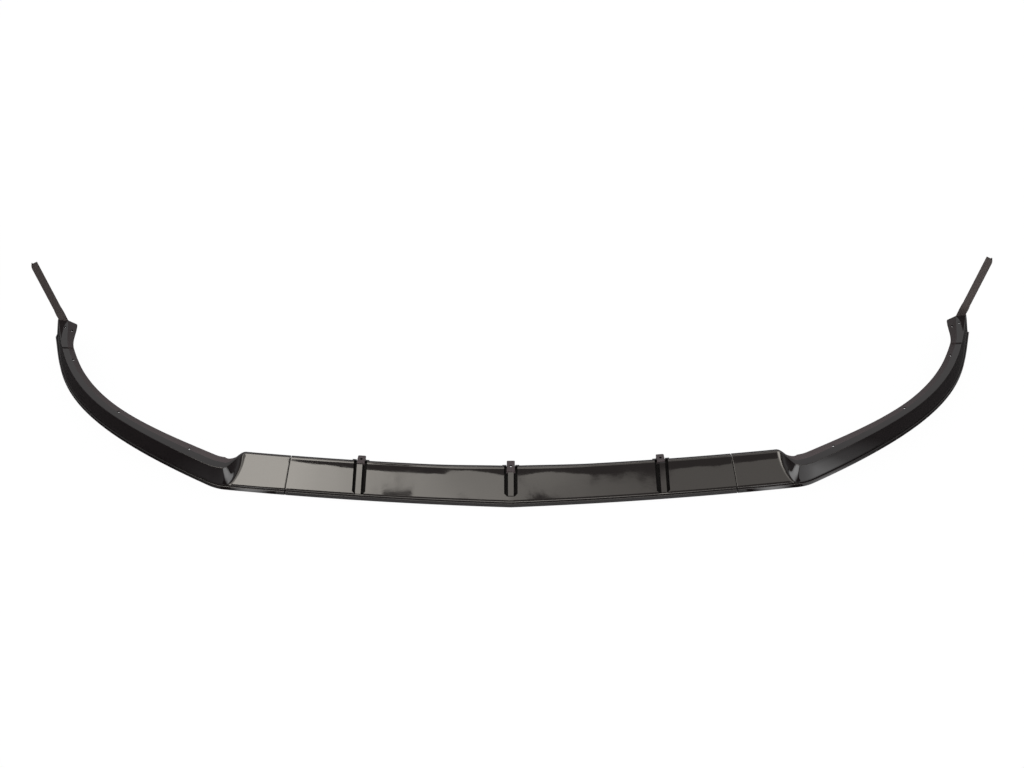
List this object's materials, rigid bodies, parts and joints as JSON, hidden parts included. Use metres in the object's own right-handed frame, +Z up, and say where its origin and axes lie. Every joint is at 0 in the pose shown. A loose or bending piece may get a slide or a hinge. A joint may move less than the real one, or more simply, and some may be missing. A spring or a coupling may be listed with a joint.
{
  "type": "front splitter lip",
  "caption": "Car front splitter lip: sloping front face, folded corners with scoops, long side walls with drilled flanges, end pads and wheel-arch arms.",
  "frame": {"origin": "centre of the footprint on the ground plane", "axes": "+X along the width to the viewer's right, -Y towards the nose, +Z up"},
  "size_m": [1.8124, 0.507, 0.1517],
  "materials": {
    "gloss_black": "gloss black moulded plastic",
    "screw_steel": "zinc-plated steel"
  },
  "bodies": {
    "root": {"centre_section": "gloss_black", "side_section_left": "gloss_black", "side_section_right": "gloss_black", "joint_screws": "screw_steel"}
  },
  "joints": []
}
